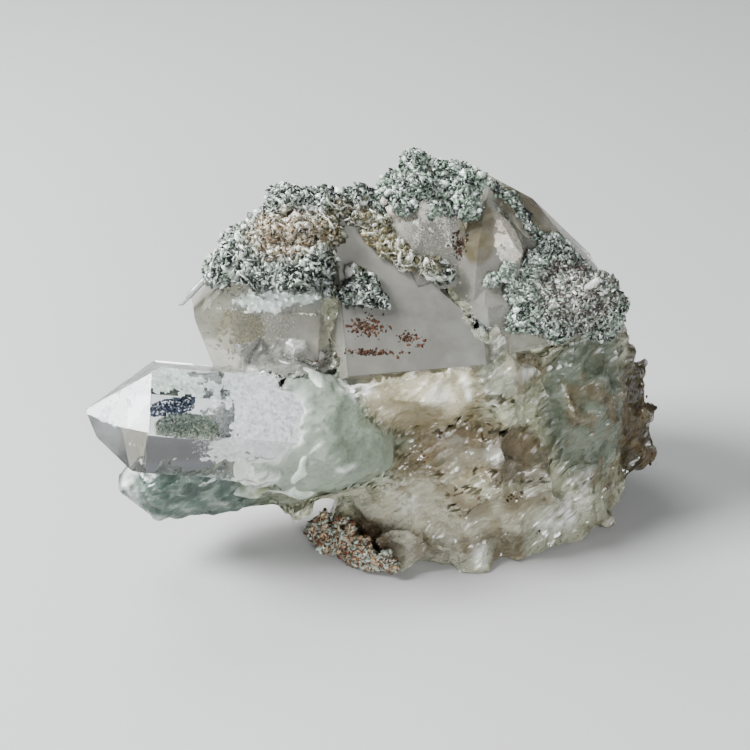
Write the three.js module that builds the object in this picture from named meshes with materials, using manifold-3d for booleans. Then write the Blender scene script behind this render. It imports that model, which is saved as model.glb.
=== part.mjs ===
// A cluster of quartz crystals on a broken quartz base, with crusts of chlorite flakes.
// Millimetres, +Z up. The cluster rests on the flat foot of its base at z = 0.

import * as THREE from 'three';
import { ConvexGeometry } from 'three/addons/geometries/ConvexGeometry.js';
import { mergeVertices } from 'three/addons/utils/BufferGeometryUtils.js';
import Module from 'manifold-3d';

const wasm = await Module();
wasm.setup();

// Driving dimensions

const GAP = 0.3;                   // clearance between a crust and the quartz that it coats
const GROWTH = 1.3 * GAP;          // how far a lump's corners move out, so that its faces clear the gap
const RHOMB_ANGLE = 51.79;         // degrees between a quartz tip face's normal and the crystal's axis
const CENTRE = [4.2, 5.59];        // the middle of the cluster on the floor, in the frame of the lists

// Colours, roughness and metalness

const FINISHES = {
  quartz: { color: 0xb9bcae, roughness: 0.25, metalness: 0 },
  chlorite: { color: 0x7d8a7c, roughness: 0.75, metalness: 0 },
  rust: { color: 0x7a4f32, roughness: 0.9, metalness: 0 },
};

const FINISH_OF = {
  quartz: 'quartz',
  left_crust: 'chlorite',
  peak_crust: 'chlorite',
  right_crust: 'chlorite',
  foot_crust: 'rust',
};

// The crystals. apex is the ideal point, aim the direction of growth, and front a direction that the
// first prism face is turned towards. prism holds the distances of the six prism faces from the axis,
// anticlockwise about it from the front one, and cuts how much deeper than the ideal point each tip
// face lies, less than nothing where it lies further out. length is the distance from the ideal point
// to the end that is buried in the base. breaks are worn or broken faces, each a normal and a point.

const CRYSTALS = {
  clear: {
    apex: [-55.9, -22.5, 39.3], aim: [-0.962, -0.182, 0.202], front: [0, -0.616, 0.788],
    prism: [9, 11.7, 10.9, 9.5, 8.8, 8.8], cuts: [0, -1.2, -1, 0.5, -1, 0], length: 44,
    breaks: [{ normal: [-0.563, -0.821, 0.096], at: [-54.3, -23.4, 33.8] }],
  },
  green: {
    apex: [-62, -14, 19], aim: [-0.98, -0.12, -0.02], front: [0, -0.95, -0.3],
    prism: [10, 10, 10, 10, 10, 10], cuts: [2, 3, 4, 5, 5, 2], length: 60,
    breaks: [
      { normal: [0.12, -0.2, -0.97], at: [-40, -14, 9.6] },
      { normal: [-0.97, -0.2, 0.15], at: [-53.6, -14, 20] },
      { normal: [-0.75, -0.2, -0.62], at: [-50.5, -14, 13] },
    ],
  },
  left: {
    apex: [-18, 14, 69.5], aim: [0.05, 0.43, 0.9], front: [0.031, -0.903, 0.428],
    prism: [9.5, 11.6, 24, 20, 24, 24], cuts: [0, -10, -9, 0, 1, 0.5], length: 50,
    breaks: [{ normal: [-0.93, -0.17, -0.32], at: [-34.6, -3, 47.3] }],
  },
  grey: {
    apex: [-8, 16, 71], aim: [-0.1, 0.66, 0.745], front: [0.05, -0.75, 0.66],
    prism: [2.65, 24, 24, 20, 14, 2.4], cuts: [0, 1.3, 1, 3, 2, 0], length: 44, breaks: [],
  },
  peak: {
    apex: [10, 14, 79], aim: [-0.08, 0.2, 0.97], front: [0.2, -0.9, 0.1],
    prism: [8, 8.5, 8, 8, 8, 8.5], cuts: [0, 1, 1, 0, 2, 1], length: 40, breaks: [],
  },
  window: {
    apex: [23.1, 11, 73], aim: [0.05, 0.2, 0.97], front: [-0.7, -0.7, 0.1],
    prism: [8, 8, 8, 8, 8, 8], cuts: [0, 0, 1, 0, 2, 1], length: 40, breaks: [],
  },
  flank: {
    apex: [22.7, 20, 74.5], aim: [-0.1, 0.25, 0.96], front: [0.34, -0.94, 0.2],
    prism: [16.5, 27, 24, 20, 20, 16], cuts: [3, -2, 0, 0, 0, 3], length: 52,
    breaks: [{ normal: [0.9, 0.1, 0.42], at: [49, 12, 49] }],
  },
};

// The lumps of the broken base: middle, half sizes, turn about the vertical in degrees, and seed. The
// rough ones carry slabs and chips. LUMP_SHAPE is how a lump's corners are strewn: how many there are,
// how far one may turn out of its place in radians, and how far out it lies as a share of the half size.

const LUMP_SHAPE = { points: 22, turn: 0.9, least: 0.88, most: 1.08 };

const LUMPS = [
  { at: [14, -3, 17], half: [26, 19, 21], turn: 0, seed: 1, rough: true },
  { at: [38, 3, 18], half: [22, 18, 22], turn: 10, seed: 2, rough: true },
  { at: [14, 20, 20], half: [32, 20, 24], turn: 0, seed: 3, rough: true },
  { at: [38, 18, 24], half: [22, 18, 24], turn: 0, seed: 4, rough: true },
  { at: [-11, -15, 29], half: [18, 14, 14], turn: -8, seed: 5 },
  { at: [-20, -14, 23], half: [13, 11, 9], turn: 0, seed: 15 },
  { at: [-16.5, -16.5, 14.5], half: [5.5, 4.5, 4.2], turn: 0, seed: 29 },
  { at: [-25, -20.5, 30.7], half: [9.6, 6.8, 8.4], turn: -10, seed: 24 },
  { at: [-12, -13, 39], half: [8, 8, 6], turn: 0, seed: 25 },
  { at: [-17, -12, 42.5], half: [10, 6.5, 4.5], turn: 0, seed: 26 },
  { at: [8, -9, 37], half: [13, 9, 9], turn: 0, seed: 6 },
  { at: [-20, -5, 43], half: [13, 7, 9], turn: 5, seed: 7 },
  { at: [-4, -5, 41], half: [9, 6, 7], turn: 5, seed: 27 },
  { at: [-10, -0.5, 49], half: [6, 5, 11], turn: 0, seed: 28 },
  { at: [23, -5, 34], half: [13, 10, 14], turn: 0, seed: 8, rough: true },
  { at: [21, 0, 46], half: [10, 8, 10], turn: 0, seed: 11 },
  { at: [42, 2, 27], half: [13, 12, 16], turn: 20, seed: 9 },
  { at: [38, 4, 40], half: [13, 9, 9], turn: 0, seed: 12 },
  { at: [8, -9, 12], half: [18, 12, 16], turn: 0, seed: 13, rough: true },
  { at: [29, -8, 12], half: [16, 12, 15], turn: 0, seed: 14, rough: true },
  { at: [12, -9, 4], half: [22, 13, 9], turn: 0, seed: 18, rough: true },
  { at: [32, -6, 4], half: [17, 14, 9], turn: 0, seed: 19, rough: true },
  { at: [43, 1, 8], half: [13, 11, 12], turn: 0, seed: 16, rough: true },
  { at: [53, 11, 19], half: [10, 13, 20], turn: 0, seed: 17, rough: true },
  { at: [57.35, 10, 11], half: [6.5, 8, 7], turn: 0, seed: 30 },
  { at: [-12, 14, 34], half: [20, 16, 20], turn: 0, seed: 10 },
];

// The corners of the space that the rough lumps fill: round the foot, then round the shoulder. The
// chips may reach further than it by the ratio CHIP_ROOM.

const CHIP_ROOM = 1.04;
const ENVELOPE = [
  [-15, -10.5, 0], [-8.5, -16.5, 0], [5, -21.8, 0], [23, -20.2, 0], [32, -14.8, 0], [45, -8.6, 0],
  [52, 1, 0], [59, 14, 0], [59, 26, 0], [46, 38, 0], [16, 42, 0], [-14, 36, 0], [-24, 14, 0],
  [63.8, 9, 7], [64, 12, 18], [62.5, 14, 27], [60, 14, 33], [52, 10, 43], [60, 27, 22], [44, 41, 22], [14, 46, 24],
  [-22, 36, 24], [-30, 10, 34], [10, -22.5, 16], [26, -21.5, 16], [40, -15, 22], [34, -12, 40],
  [0, -16, 34], [-18, -12, 22], [-10, 30, 56], [36, 30, 56], [0, 0, 60], [36, 4, 56],
];

// Hollows that broken flakes left in the base, and the one that the foot crust fills.

const SCOOPS = [
  { at: [33, -14, 32], half: [8, 5, 9], turn: 25, seed: 31 },
  { at: [2, -22, 18], half: [9, 5, 7], turn: -10, seed: 32 },
  { at: [50, -12, 20], half: [9, 6, 10], turn: 35, seed: 33 },
  { at: [22, -23, 12], half: [9, 4, 8], turn: 5, seed: 34 },
  { at: [44, -14, 14], half: [9, 5, 8], turn: 35, seed: 39 },
  { at: [57, -2, 14], half: [9, 5, 9], turn: 62, seed: 40 },
  { at: [64, 8, 30], half: [9, 5, 8], turn: 80, seed: 41 },
  { at: [5, 42, 22], half: [14, 7, 12], turn: 0, seed: 35 },
  { at: [34, 38, 34], half: [12, 7, 14], turn: -20, seed: 36 },
  { at: [-8, -16, 1], half: [12, 7, 7], turn: -38, seed: 38 },
];

// Angular pieces that stand out from the rough lumps, slabs and chips, with their half sizes. They
// are strewn at the share depth of a lump's half sizes, between two heights on it.

const SLABS = { count: 38, smallest: 4, biggest: 9, seed: 101 };
const CHIPS = { count: 22, smallest: 2, biggest: 4, seed: 102 };
const STREWN = { points: 11, depth: 0.86, lowest: -0.6, highest: 0.7 };

// The crusts: rows of lumps from one place to another, with the lump radius at both ends. Each lump is
// shifted at random by up to shift, its half sizes are the radius by stretch, give or take vary, and
// it carries a knob of the share knob of its size at the distance knobOut.

const CRUST_SHAPE = {
  points: 10, shift: 0.8, stretch: [1.1, 1, 0.9], vary: 0.12, knobPoints: 6, knob: 0.45, knobOut: 0.8,
};

const CRUSTS = {
  left_crust: {
    seed: 301,
    rows: [
      { from: [-36, 0, 57], to: [-18, 10.5, 69], radius: [2.2, 4.2], count: 6 },
      { from: [-18, 11, 69], to: [-5, 11, 69.5], radius: [4.2, 3.8], count: 4 },
      { from: [-31, -1.5, 59.3], to: [-11, -2, 59.5], radius: [2.6, 3.4], count: 6 },
      { from: [-30, 0, 60.5], to: [-12, -0.5, 62], radius: [3.4, 4], count: 5 },
      { from: [-27, 0.5, 61.5], to: [-11.5, 0.5, 63], radius: [4.6, 4.6], count: 4 },
      { from: [-22, 5, 65.5], to: [-10, 5, 66], radius: [4.6, 4.6], count: 4 },
      { from: [-9, -1.5, 57], to: [1, -2, 54.2], radius: [2.8, 2], count: 5 },
      { from: [-4.2, 1.4, 59.4], to: [2.2, -1.8, 54.9], radius: [2.1, 1.8], count: 4 },
      { from: [-4, 10, 68], to: [4, 5.5, 62.8], radius: [3.8, 3.4], count: 4 },
      { from: [4.5, 4, 62.4], to: [13, 0.8, 59.8], radius: [3.5, 3], count: 5 },
      { from: [1, 12, 69], to: [8, 5, 63.5], radius: [3.6, 3.2], count: 3 },
      { from: [-27, 10, 62], to: [-9, 22, 66], radius: [4.3, 4.5], count: 4 },
    ],
  },
  peak_crust: {
    seed: 302,
    rows: [
      { from: [1.8, 10, 70], to: [7.6, 13.5, 77], radius: [3.2, 3.2], count: 4 },
      { from: [9, 13.5, 77], to: [20.5, 14, 73], radius: [3.2, 2.8], count: 4 },
      { from: [6, 6.5, 70.5], to: [17.5, 6.5, 71], radius: [3.2, 3.2], count: 5 },
      { from: [7.5, 8.5, 73.5], to: [17, 9, 73.5], radius: [3.6, 3.4], count: 4 },
      { from: [5, 18, 71], to: [17, 20, 72], radius: [3.4, 3.4], count: 4 },
    ],
  },
  right_crust: {
    seed: 303,
    rows: [
      { from: [22.5, -0.5, 58.5], to: [35, 6.5, 58.5], radius: [3, 4.2], count: 5 },
      { from: [35.5, 8, 60], to: [44.8, 4.5, 54.5], radius: [3.4, 3.6], count: 4 },
      { from: [29, 3, 56.5], to: [45, 3, 54.5], radius: [4.2, 4.4], count: 4 },
      { from: [27, -1, 54], to: [46, 0.5, 52.5], radius: [3.8, 4.8], count: 5 },
      { from: [29, -4, 51], to: [46, -1, 49], radius: [3.4, 4.2], count: 5 },
      { from: [28, 17, 67.3], to: [40, 7.5, 58], radius: [2.8, 3], count: 6 },
    ],
  },
  foot_crust: {
    seed: 304,
    rows: [
      { from: [-12, -10, 2.5], to: [2, -18.5, 2.5], radius: [4, 4.2], count: 6 },
      { from: [-9, -11, 6.5], to: [-1, -16, 6], radius: [3.6, 3.6], count: 3 },
    ],
  },
};

// Geometry helpers

const UP = new THREE.Vector3(0, 0, 1);
const radians = THREE.MathUtils.degToRad;

// A small repeatable random number generator.
function random(seed) {
  let state = seed * 2654435761 >>> 0;
  return () => {
    state = state + 0x6d2b79f5 >>> 0;
    let t = Math.imul(state ^ state >>> 15, state | 1);
    t ^= t + Math.imul(t ^ t >>> 7, t | 61);
    return ((t ^ t >>> 14) >>> 0) / 4294967296;
  };
}

// The closed manifold solid of a three.js geometry.
function solidOf(geometry) {
  const bare = geometry.clone();
  bare.deleteAttribute('normal');
  bare.deleteAttribute('uv');
  const merged = mergeVertices(bare, 1e-4);
  return new wasm.Manifold(new wasm.Mesh({
    numProp: 3,
    vertProperties: new Float32Array(merged.attributes.position.array),
    triVerts: new Uint32Array(merged.index.array),
  }));
}

function hull(points) {
  return solidOf(new ConvexGeometry(points));
}

function union(solids) {
  return solids.reduce((whole, solid) => whole.add(solid));
}

// The largest connected piece of a solid, without the voids that its surface may enclose.
function largest(solid) {
  return solid.decompose().reduce((best, piece) => (piece.volume() > best.volume() ? piece : best));
}

// The faces that bound a crystal, as planes whose normals point out, all moved out by grow.
function crystalPlanes({ apex, aim, front, prism, cuts, length, breaks }, grow) {
  const point = new THREE.Vector3(...apex);
  const axis = new THREE.Vector3(...aim).normalize();
  const first = new THREE.Vector3(...front).projectOnPlane(axis).normalize();
  const tilt = radians(RHOMB_ANGLE);
  const face = (normal, through, out) => {
    const plane = new THREE.Plane().setFromNormalAndCoplanarPoint(normal, through);
    plane.constant -= out + grow;
    return plane;
  };
  const planes = prism.flatMap((distance, side) => {
    const across = first.clone().applyAxisAngle(axis, radians(60 * side));
    const slope = axis.clone().multiplyScalar(Math.cos(tilt)).addScaledVector(across, Math.sin(tilt));
    return [face(across, point, distance), face(slope, point, -cuts[side])];
  });
  const broken = breaks.map(({ normal, at }) => (
    face(new THREE.Vector3(...normal).normalize(), new THREE.Vector3(...at), 0)
  ));
  return [...planes, ...broken, face(axis.clone().negate(), point, length)];
}

// The corners of the convex body inside a set of planes.
function corners(planes) {
  const points = [];
  const count = planes.length;
  for (let i = 0; i < count; i += 1) {
    for (let j = i + 1; j < count; j += 1) {
      for (let k = j + 1; k < count; k += 1) {
        const [a, b, c] = [planes[i], planes[j], planes[k]];
        const cross = new THREE.Vector3().crossVectors(b.normal, c.normal);
        const det = a.normal.dot(cross);
        if (Math.abs(det) > 1e-6) {
          const point = cross.multiplyScalar(-a.constant)
            .addScaledVector(new THREE.Vector3().crossVectors(c.normal, a.normal), -b.constant)
            .addScaledVector(new THREE.Vector3().crossVectors(a.normal, b.normal), -c.constant)
            .divideScalar(det);
          const inside = planes.every((plane) => plane.distanceToPoint(point) < 1e-4);
          if (inside && !points.some((other) => other.distanceTo(point) < 1e-3)) points.push(point);
        }
      }
    }
  }
  return points;
}

function crystal(spec, grow = 0) {
  return hull(corners(crystalPlanes(spec, grow)));
}

// A broken lump: the hull of points strewn unevenly along a spiral over an ellipsoid.
function lump({ at, half, turn = 0, seed, points: count = LUMP_SHAPE.points }, grow = 0) {
  const next = random(seed);
  const goldenAngle = Math.PI * (3 - Math.sqrt(5));
  const points = [];
  for (let i = 0; i < count; i += 1) {
    const height = 1 - 2 * (i + 0.5) / count;
    const around = i * goldenAngle + LUMP_SHAPE.turn * next();
    const ring = Math.sqrt(1 - height * height);
    const reach = THREE.MathUtils.lerp(LUMP_SHAPE.least, LUMP_SHAPE.most, next());
    const point = new THREE.Vector3(
      ring * Math.cos(around) * (half[0] * reach + grow),
      ring * Math.sin(around) * (half[1] * reach + grow),
      height * (half[2] * reach + grow),
    );
    points.push(point.applyAxisAngle(UP, radians(turn)).add(new THREE.Vector3(...at)));
  }
  return hull(points);
}

// Angular pieces strewn over the rough lumps.
function strewn({ count, smallest, biggest, seed }, grow) {
  const next = random(seed);
  const between = (low, high) => THREE.MathUtils.lerp(low, high, next());
  const rough = LUMPS.filter((spec) => spec.rough);
  return Array.from({ length: count }, (_, index) => {
    const { at, half, turn } = rough[index % rough.length];
    const around = between(0, 2 * Math.PI);
    const height = between(STREWN.lowest, STREWN.highest);
    const ring = Math.sqrt(1 - height * height);
    const place = new THREE.Vector3(ring * Math.cos(around), ring * Math.sin(around), height)
      .multiply(new THREE.Vector3(...half))
      .multiplyScalar(STREWN.depth)
      .applyAxisAngle(UP, radians(turn))
      .add(new THREE.Vector3(...at));
    const size = () => between(smallest, biggest);
    return lump({
      at: place.toArray(),
      half: [size(), size(), size()],
      turn: between(0, 360),
      seed: seed + index,
      points: STREWN.points,
    }, grow);
  });
}

// The quartz: crystals and base grown as one piece, cut off flat at the foot

function quartzBody(grow) {
  const rough = LUMPS.filter((spec) => spec.rough).map((spec) => lump(spec, grow));
  const smooth = LUMPS.filter((spec) => !spec.rough).map((spec) => lump(spec, grow));
  const envelope = ENVELOPE.map((corner) => new THREE.Vector3(...corner));
  const middle = new THREE.Box3().setFromPoints(envelope).getCenter(new THREE.Vector3());
  const wider = envelope.map((corner) => middle.clone().lerp(corner, CHIP_ROOM));
  return union([...rough, ...strewn(SLABS, grow)])
    .intersect(hull(envelope))
    .add(union(strewn(CHIPS, grow)).intersect(hull(wider)))
    .add(union(smooth))
    .subtract(union(SCOOPS.map((spec) => lump(spec, -grow))))
    .add(union(Object.values(CRYSTALS).map((spec) => crystal(spec, grow))));
}

// A crust: its lumps and their smaller knobs

function crustLumps({ rows, seed }, grow) {
  const next = random(seed);
  const spread = (size) => size * (2 * next() - 1);
  const anyWay = (size) => new THREE.Vector3(spread(size), spread(size), spread(size));
  const { points, shift, stretch, vary, knobPoints, knob, knobOut } = CRUST_SHAPE;
  let lumpSeed = seed;
  return union(rows.flatMap(({ from, to, radius, count }) => (
    Array.from({ length: count }, (_, index) => {
      const share = index / (count - 1);
      const size = THREE.MathUtils.lerp(radius[0], radius[1], share);
      const middle = new THREE.Vector3(...from).lerp(new THREE.Vector3(...to), share).add(anyWay(shift));
      const half = stretch.map((factor) => size * (factor + spread(vary)));
      const knobMiddle = anyWay(1).normalize().multiplyScalar(knobOut * size).add(middle);
      const knobHalf = stretch.map((factor) => size * factor * knob);
      lumpSeed += 1;
      const core = { at: middle.toArray(), half, turn: 360 * next(), seed: lumpSeed, points };
      const small = { at: knobMiddle.toArray(), half: knobHalf, seed: lumpSeed, points: knobPoints };
      return lump(core, grow).add(lump(small, grow));
    })
  )));
}

// The object

const solids = { quartz: quartzBody(0) };
let taken = quartzBody(GROWTH);
Object.entries(CRUSTS).forEach(([name, spec]) => {
  solids[name] = crustLumps(spec, 0).subtract(taken);
  taken = taken.add(crustLumps(spec, GROWTH));
});

function piece(name, solid, finish) {
  const { vertProperties, triVerts } = solid.getMesh();
  const geometry = new THREE.BufferGeometry();
  geometry.setAttribute('position', new THREE.BufferAttribute(new Float32Array(vertProperties), 3));
  geometry.setIndex(new THREE.BufferAttribute(new Uint32Array(triVerts), 1));
  geometry.computeVertexNormals();
  const mesh = new THREE.Mesh(geometry, new THREE.MeshStandardMaterial(FINISHES[finish]));
  mesh.name = name;
  return mesh;
}

const cluster = new THREE.Group();
cluster.position.set(-CENTRE[0], -CENTRE[1], 0);
Object.entries(solids).forEach(([name, solid]) => {
  cluster.add(piece(name, largest(solid.trimByPlane([0, 0, 1], 0)), FINISH_OF[name]));
});

export default cluster;
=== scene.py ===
"""The looks of a quartz cluster: clear and smoky crystals on a milky, broken base, with crusts of
chlorite flakes. Lengths in the lists below are millimetres in a design frame; CENTRE is where the
part's own frame has its origin in it."""

import itertools
import math

import bmesh
import bpy
import numpy as np
from mathutils import Matrix, Vector
from mathutils.bvhtree import BVHTree
from mathutils.geometry import delaunay_2d_cdt


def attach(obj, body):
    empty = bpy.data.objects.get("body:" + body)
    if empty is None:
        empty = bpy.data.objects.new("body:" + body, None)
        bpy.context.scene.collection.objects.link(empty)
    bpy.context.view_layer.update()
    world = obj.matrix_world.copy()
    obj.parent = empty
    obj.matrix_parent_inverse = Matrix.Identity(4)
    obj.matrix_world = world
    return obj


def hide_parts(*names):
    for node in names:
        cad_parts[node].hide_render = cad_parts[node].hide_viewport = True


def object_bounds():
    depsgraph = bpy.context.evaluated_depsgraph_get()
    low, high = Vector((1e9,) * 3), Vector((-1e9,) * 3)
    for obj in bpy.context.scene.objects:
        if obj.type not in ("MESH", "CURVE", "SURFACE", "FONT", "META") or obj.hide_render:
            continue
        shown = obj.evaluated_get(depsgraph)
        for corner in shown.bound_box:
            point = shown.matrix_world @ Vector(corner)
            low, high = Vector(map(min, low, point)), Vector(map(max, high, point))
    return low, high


MM = 0.001
CENTRE = np.array([4.2, 5.59, 0.0])
RHOMB_ANGLE = 51.79          # degrees between a quartz tip face's normal and the crystal's axis
QUARTZ_IOR = 1.544
CHLORITE_IOR = 1.58
BODY = "root"

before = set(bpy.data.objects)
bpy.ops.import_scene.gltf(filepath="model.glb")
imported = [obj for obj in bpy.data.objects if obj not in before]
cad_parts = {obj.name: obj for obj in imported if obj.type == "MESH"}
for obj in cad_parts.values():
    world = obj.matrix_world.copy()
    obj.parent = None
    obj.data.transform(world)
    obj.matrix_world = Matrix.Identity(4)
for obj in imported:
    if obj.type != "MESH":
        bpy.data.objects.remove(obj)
cad_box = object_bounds()

# The camera, as the photo was taken: its aim, distance, elevation and lens

AIM = (0, 0, 36)
DISTANCE = 300
ELEVATION = 30
LENS = 69.6

# The crystals, by the same numbers as the solids. reach is how deep below the ideal point the clear
# quartz goes before it turns into the milky base.

CRYSTALS = {
    "clear": dict(
        apex=(-55.9, -22.5, 39.3), aim=(-0.962, -0.182, 0.202), front=(0, -0.616, 0.788),
        prism=(9, 11.7, 10.9, 9.5, 8.8, 8.8), cuts=(0, -1.2, -1, 0.5, -1, 0), reach=42,
        breaks=[((-0.563, -0.821, 0.096), (-54.3, -23.4, 33.8))],
    ),
    "left": dict(
        apex=(-18, 14, 69.5), aim=(0.05, 0.43, 0.9), front=(0.031, -0.903, 0.428),
        prism=(9.5, 11.6, 24, 20, 24, 24), cuts=(0, -10, -9, 0, 1, 0.5), reach=38,
        breaks=[((-0.93, -0.17, -0.32), (-34.6, -3, 47.3))],
    ),
    "grey": dict(
        apex=(-8, 16, 71), aim=(-0.1, 0.66, 0.745), front=(0.05, -0.75, 0.66),
        prism=(2.65, 24, 24, 20, 14, 2.4), cuts=(0, 1.3, 1, 3, 2, 0), reach=40, breaks=[],
    ),
    "peak": dict(
        apex=(10, 14, 79), aim=(-0.08, 0.2, 0.97), front=(0.2, -0.9, 0.1),
        prism=(8, 8.5, 8, 8, 8, 8.5), cuts=(0, 1, 1, 0, 2, 1), reach=26, breaks=[],
    ),
    "window": dict(
        apex=(23.1, 11, 73), aim=(0.05, 0.2, 0.97), front=(-0.7, -0.7, 0.1),
        prism=(8, 8, 8, 8, 8, 8), cuts=(0, 0, 1, 0, 2, 1), reach=30, breaks=[],
    ),
    "flank": dict(
        apex=(22.7, 20, 74.5), aim=(-0.1, 0.25, 0.96), front=(0.34, -0.94, 0.2),
        prism=(16.5, 27, 24, 20, 20, 16), cuts=(3, -2, 0, 0, 0, 3), reach=36,
        breaks=[((0.9, 0.1, 0.42), (49, 12, 49))],
    ),
}
SMOKY = ("left", "grey", "peak", "window", "flank")
GRAIN = (0.80, -0.15, 0.55)  # the way the base's long broken faces run
EMBED = 0.3                  # how deep the base's skin reaches into a crystal that it holds

# Where the quartz looks different: middle, half size, colour, how smooth it is (0 rough, 1 smooth) and
# how soft the border is

ZONES = [
    ((24, -8, 44), (13, 8, 9), (0.50, 0.52, 0.40), 0.6, 0.4),
    ((14, -18, 12), (22, 8, 10), (0.72, 0.69, 0.53), 0.1, 0.5),
    ((29, -14, 25), (8, 6, 6), (0.25, 0.215, 0.155), 0.45, 0.3),  # a brown slab
    ((15, -14, 27), (9, 5, 6), (0.31, 0.28, 0.20), 0.3, 0.3),
    ((18, -20, 17), (4, 3, 4), (0.52, 0.47, 0.32), 0.7, 0.5),  # tan plates
    ((28.4, -8.8, 44.5), (3.6, 3, 4.6), (0.52, 0.49, 0.37), 0.7, 0.5),
    ((-11, -17, 32), (19, 13, 14), (0.45, 0.53, 0.42), 0.95, 0.2),  # the green shell
    ((-24, -20.5, 30), (11, 8, 9), (0.43, 0.51, 0.41), 0.95, 0.2),
    # painted shade: a darker olive zone for the shadow side under the green shell
    ((-21, -14, 20), (13, 11, 6.5), (0.26, 0.28, 0.18), 0.6, 0.4),
    ((-42, -15, 18), (19, 13, 11), (0.085, 0.15, 0.12), 0.5, 0.3),  # the green crystal below
    ((8, -10.5, 38), (12.5, 8, 8.8), (0.90, 0.84, 0.60), 0.7, 0.22),  # the beige cushion
    ((-21, -8, 44), (12, 7, 9), (0.30, 0.295, 0.26), 0.5, 0.2),  # the grey shell on the left
    ((46, -3, 30), (12, 14, 17), (0.26, 0.30, 0.225), 0.4, 0.25),  # the grey-green right mass
    ((60, 10, 22), (9, 13, 24), (0.065, 0.046, 0.010), 0.3, 0.25),  # the brown rim at the right
    ((22, -4.4, 53), (3, 3, 3.6), (0.20, 0.26, 0.24), 0.9, 0.4),  # a blue-grey pane
    ((-4, -16, 5), (11, 7, 6), (0.13, 0.085, 0.05), 0.0, 0.5),  # the rusty foot
]
PLAIN = (0.66, 0.66, 0.48)
WHITE = (0.82, 0.83, 0.80)

# Frosted patches on it, middle, half size and strength, and white chipped edges, each a row of places

FROST = [
    ((-3.5, -12.9, 42.3), (3.6, 3.5, 3.6), 1.6), ((-20.9, -13, 45.8), (6.5, 4, 3.5), 0.2),
    ((-28.4, -8.9, 44.1), (3, 3, 3), 0.5), ((32.9, -8.2, 40.9), (4.6, 3, 2), 0.8),
    ((41.3, -11.9, 7.8), (7.5, 5, 5), 0.8), ((24.3, -17, 28.3), (3, 2.5, 3), 0.8),
    ((14.2, -14.5, 29.3), (4.5, 2.5, 1.8), 0.8), ((12.8, -15.2, 39.1), (3.2, 3, 3.5), 0.7),
    ((6.7, -20.1, 14.7), (4, 4, 4.5), 0.5), ((23, -20.2, 4.4), (3.5, 3, 3), 0.7),
    ((2.6, -18.9, 22.2), (2.2, 3, 2.2), 0.5), ((44.4, -8.3, 14.9), (3, 3, 3), 0.6),
    ((-50.5, -18, 19), (2.6, 5, 7), 0.8), ((-46, -19, 12.5), (5, 4, 1.6), 0.7),
    ((-14.7, -7, 49), (3.5, 3, 4), 0.4),
]
EDGES = [
    [(33.3, -8.7, 35.4), (36.1, -5.2, 34.8), (39.1, -6.6, 36.8), (42.4, -4.4, 37.4)],
    [(33.3, -8.7, 35.4), (33.9, -8.2, 29.6)],
    [(21, -18.3, 25.4), (25.1, -15.8, 30.6)],
    [(13.6, -14, 29.7), (17.9, -12.5, 31.4)],
    [(-5.9, -7.8, 47.8), (-3.4, -9.4, 46.2), (-1, -10.9, 44.4), (5, -8.6, 46.5), (12.9, -9.4, 45.1),
     (17.2, -11.1, 42.9), (18.4, -12.5, 39.3), (19.5, -12.8, 35.3)],
    [(-0.6, -14, 41.8), (2, -16.2, 36.2), (5, -15.9, 32.6), (8, -13.6, 29.7)],
    [(-25.9, -26.1, 34.9), (-20.2, -24, 37.2), (-15.7, -20.1, 39.3), (-15.3, -18.2, 41.3),
     (-21.9, -17.1, 43.2)],
    [(-8.6, -28.5, 30.3), (-1, -23.7, 30.6), (8.8, -16.5, 27), (10.2, -15.5, 28.1)],
]

# The same for the crystals: middle, half size, tint, how much of it is frosted and how soft the border is

CLEAR_ZONES = [
    # partly frost, partly painted light: this patch on the clear crystal's top is made paler for its bright
    # top
    ((-39.1, -21, 46.3), (5.5, 4, 4.5), (0.68, 0.80, 0.72), 0.60, 0.5),
    # partly frost, with a bluish white tint painted for the tip face's reflection of the key light
    ((-47.6, -23.4, 42.9), (6, 5, 5), (0.82, 0.90, 0.97), 0.38, 0.5),
    ((-30.6, -26.9, 35), (6, 4, 3.5), (0.80, 0.82, 0.82), 0.55, 0.5),
    ((-30, -19, 44.7), (6, 4, 4), (0.70, 0.78, 0.76), 0.50, 0.5),
    ((-20, -20, 40), (9, 12, 12), (0.86, 0.88, 0.90), 0.95, 0.7),
    ((-44.6, -28.6, 36.6), (4, 3, 4), (0.72, 0.68, 0.62), 0.30, 0.5),
    ((-37.5, -28.5, 35.5), (6, 2.5, 3), (0.62, 0.59, 0.53), 0.15, 0.5),
    ((-36, -27, 40), (7, 4, 3.2), (0.86, 0.90, 0.86), 0.0, 0.6),
    ((-38.5, -25, 42.5), (7, 4, 2.6), (0.82, 0.88, 0.94), 0.05, 0.6),
]
SMOKY_ZONES = [
    ((36, 14, 62), (14, 14, 13), (0.17, 0.15, 0.115), 0.12, 0.25),
    ((-30, -4, 54), (8, 6, 5), (0.50, 0.49, 0.43), 0.15, 0.4),
    ((-27, -6, 50), (5, 5, 4.2), (0.38, 0.36, 0.26), 0.0, 0.12),
    ((-19, -3, 55), (9, 5, 2.4), (0.62, 0.72, 0.66), 0.75, 0.5),
    ((-15, -6, 50), (6, 5, 5), (0.56, 0.53, 0.45), 0.15, 0.4),
    ((11, 3, 66), (5, 4, 5), (0.66, 0.64, 0.56), 0.25, 0.3),
    ((20.5, 4, 67), (3.6, 6, 7), (0.36, 0.30, 0.17), 0.0, 0.2),
    ((27, 4, 66), (3.5, 6, 7), (0.95, 0.84, 0.70), 0.70, 0.2),
]

SMOKY_TINT, CLEAR = (0.66, 0.64, 0.56), (0.98, 0.99, 1.0)
# Painted light: the grey face's colour is made paler upwards, where the crust shades its top.
SATIN = (0.165, 0.16, 0.14)       # the grey face, which pales upwards from SATIN_FROM
SATIN_FROM, SATIN_PAINTED_LIGHT = 52, 0.08

# The milky heart: how deep it lies under the skin, how grey it is inside the upper crystals, and where
# the quartz is clear far deeper

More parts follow.
